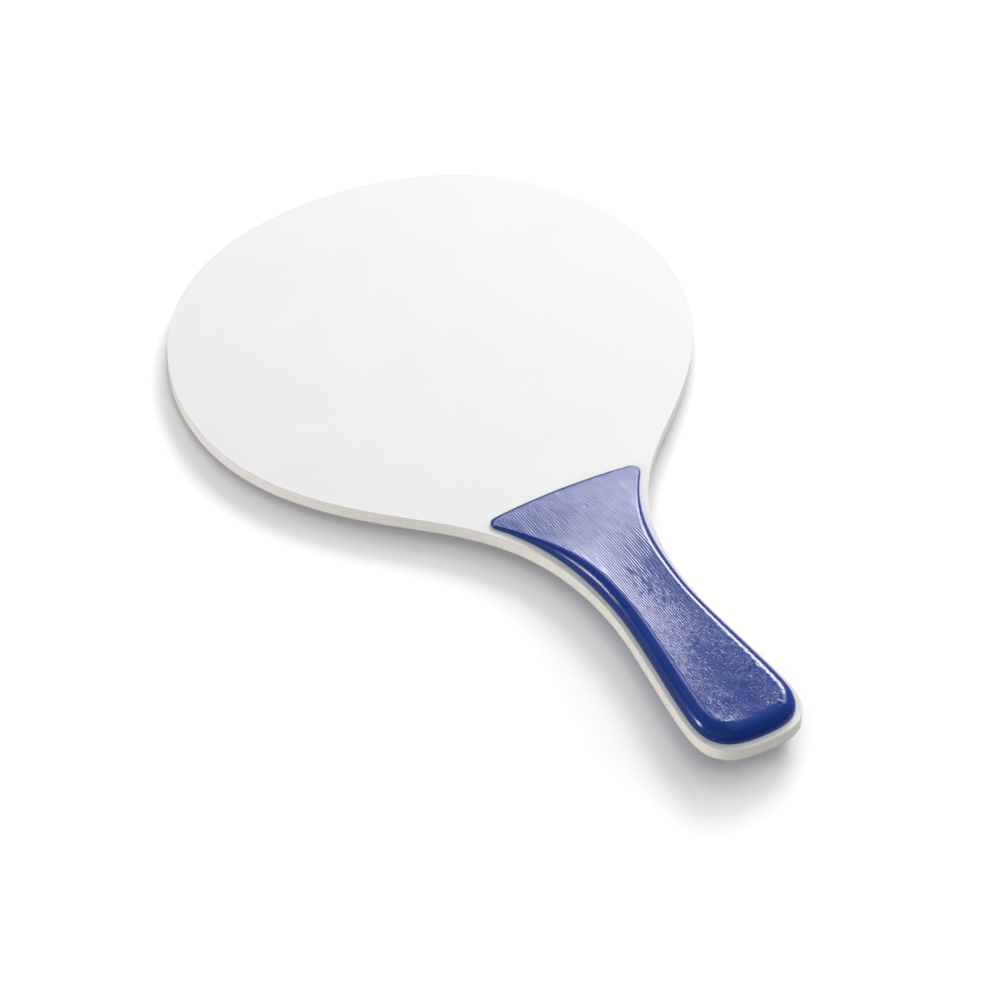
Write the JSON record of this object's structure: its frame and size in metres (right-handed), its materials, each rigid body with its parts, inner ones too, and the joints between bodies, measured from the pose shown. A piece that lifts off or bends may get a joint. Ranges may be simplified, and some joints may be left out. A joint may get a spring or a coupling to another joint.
{
  "type": "beach paddle racket",
  "caption": "Flat wooden paddle racket with a round white-faced blade and a short handle that carries a moulded grip pad on each face.",
  "frame": {"origin": "middle of the racket's length, width and thickness, on the board's mid-plane", "axes": "+X across the board, +Y along the racket from handle to blade, +Z out of the front face"},
  "size_m": [0.19, 0.31, 0.0154],
  "materials": {
    "board_core": "sawn fibreboard edge with a thin off-white paint wash",
    "board_facing": "satin white melamine facing",
    "grip": "blue moulded plastic, satin sides and a linear leather grain on top",
    "adhesive": "thin adhesive pad, hidden"
  },
  "bodies": {
    "root": {"core_board": "board_core", "front_facing": "board_facing", "back_facing": "board_facing", "front_adhesive": "adhesive", "back_adhesive": "adhesive", "front_grip": "grip", "back_grip": "grip"}
  },
  "joints": []
}
